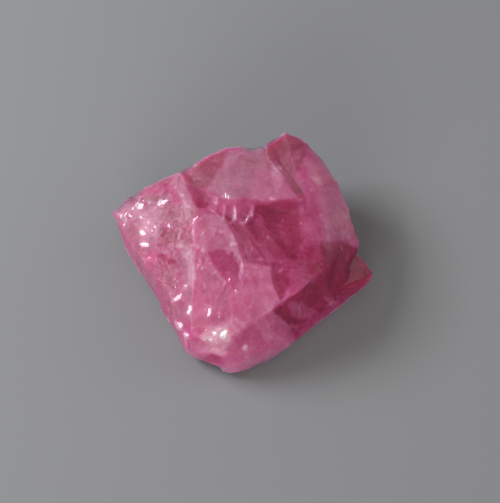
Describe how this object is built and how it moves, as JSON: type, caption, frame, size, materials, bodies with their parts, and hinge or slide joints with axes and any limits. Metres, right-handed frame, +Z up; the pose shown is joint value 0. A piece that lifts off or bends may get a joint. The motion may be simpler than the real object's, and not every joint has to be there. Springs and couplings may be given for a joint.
{
  "type": "rubellite crystal",
  "caption": "Rough broken piece of clear pink tourmaline with stepped break faces, a pale crumbly shoulder and a flat side to lie on.",
  "frame": {"origin": "centre of the stone's outline, on the surface it lies on", "axes": "+X along the stone's length, from its pale tip to its dark ledge; +Y across it; +Z up"},
  "size_m": [0.0188, 0.0164, 0.0063],
  "materials": {
    "rubellite": "glassy broken tourmaline, milky where it is crushed"
  },
  "bodies": {
    "root": {"rubellite_crystal": "rubellite"}
  },
  "joints": []
}
